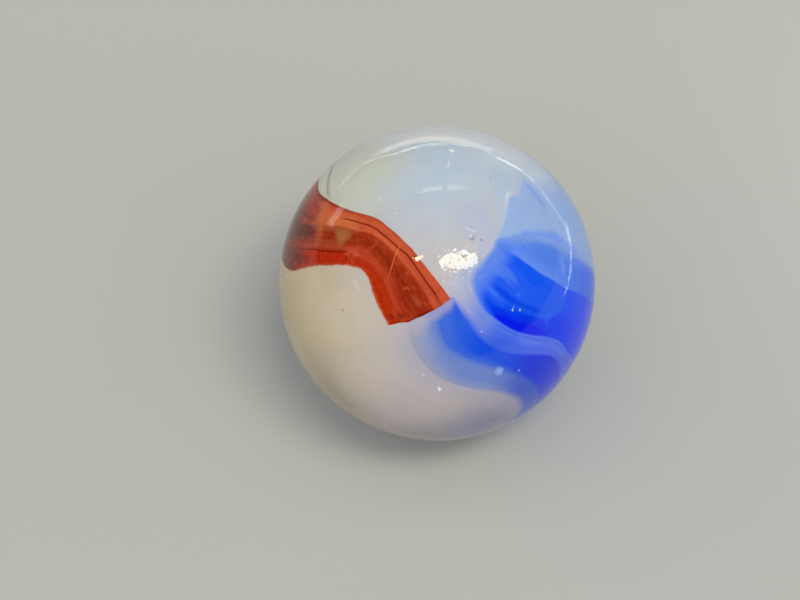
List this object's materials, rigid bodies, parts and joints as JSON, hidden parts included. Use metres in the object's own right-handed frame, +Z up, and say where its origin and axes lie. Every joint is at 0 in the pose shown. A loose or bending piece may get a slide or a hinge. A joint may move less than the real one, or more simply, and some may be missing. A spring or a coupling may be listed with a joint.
{
  "type": "glass marble",
  "caption": "Solid playing marble: a ball of opaque milk-white glass with a sheared red ribbon and a blue swirl fused into its surface.",
  "frame": {"origin": "centre of the ball", "axes": "+Z up; the middle of the swirl's face leans 32 degrees from +Z towards -Y, the red ribbon runs to the -X side and the blue swirl to the +X side"},
  "size_m": [0.016, 0.016, 0.016],
  "materials": {
    "swirled_glass": "fire-polished opaque milk-white glass with red and blue ribbons"
  },
  "bodies": {
    "root": {"marble": "swirled_glass"}
  },
  "joints": []
}
